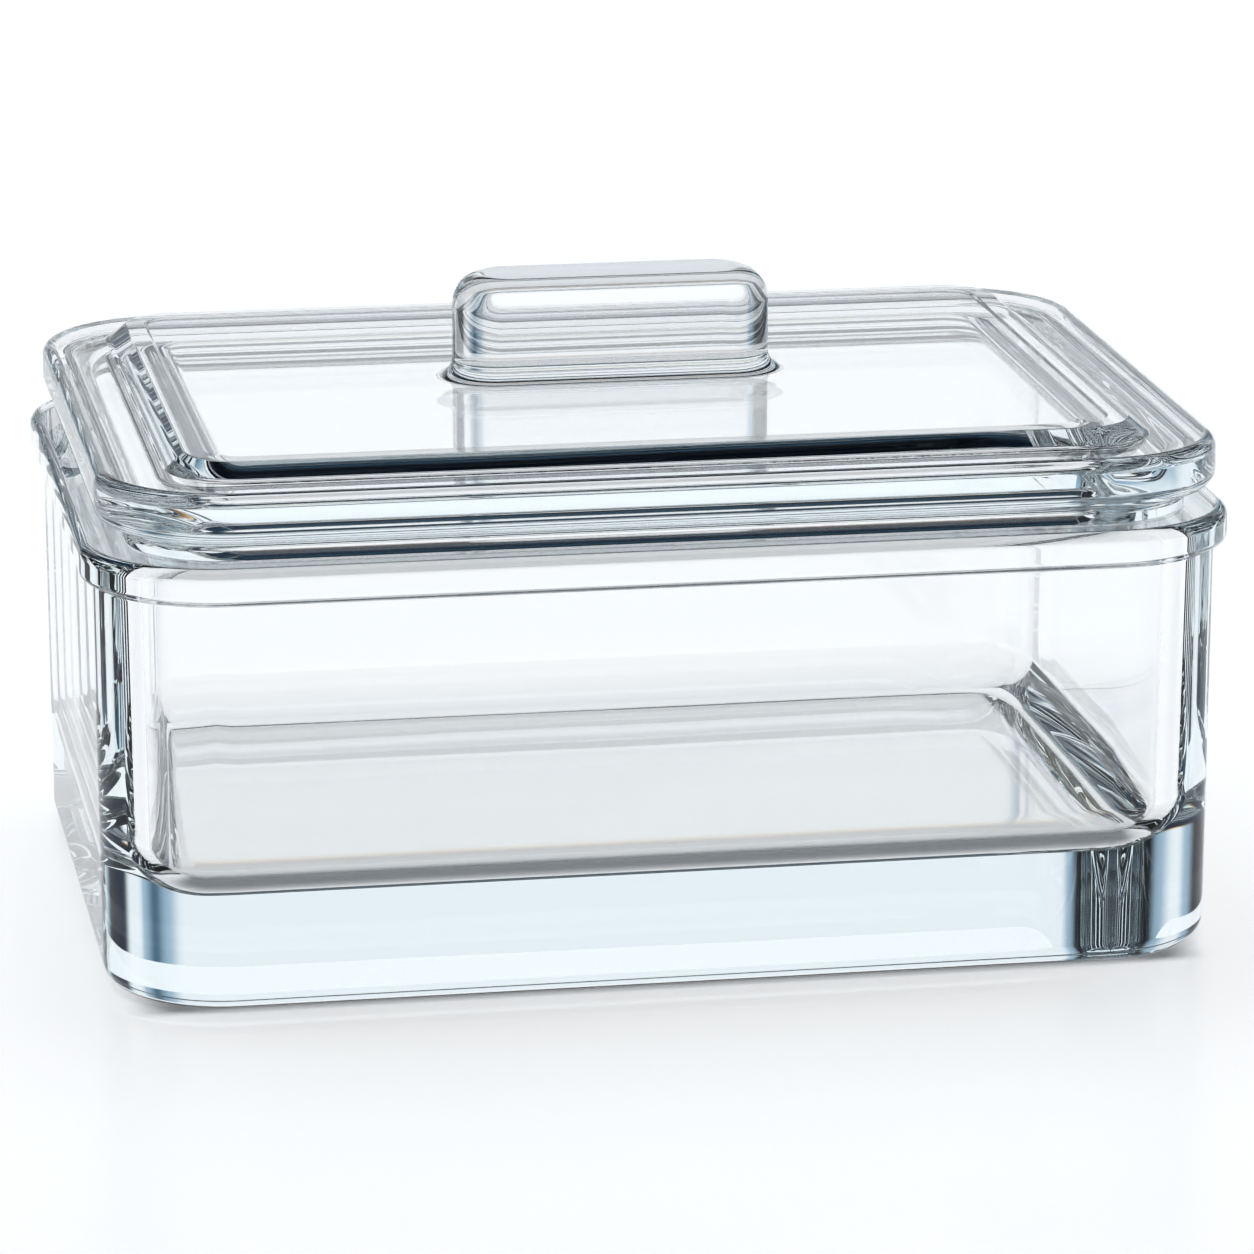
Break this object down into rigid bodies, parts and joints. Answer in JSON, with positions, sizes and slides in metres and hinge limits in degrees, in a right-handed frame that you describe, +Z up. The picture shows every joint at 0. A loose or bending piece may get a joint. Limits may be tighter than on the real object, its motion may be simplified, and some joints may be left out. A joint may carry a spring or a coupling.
{
  "type": "slide staining jar",
  "caption": "Rectangular clear glass staining dish for microscope slides, with a beaded rim and a loose glass lid that has a raised centre and a bar handle.",
  "frame": {"origin": "centre of the dish's flat foot, on the surface it stands on", "axes": "+X along the long side, -Y towards the front, +Z up through the lid's handle"},
  "size_m": [0.1068, 0.0788, 0.0598],
  "materials": {
    "dish_glass": "clear pressed soda-lime glass, fire polished",
    "lid_glass": "clear pressed soda-lime glass, fire polished"
  },
  "bodies": {
    "root": {"dish": "dish_glass", "lid": "lid_glass"}
  },
  "joints": []
}
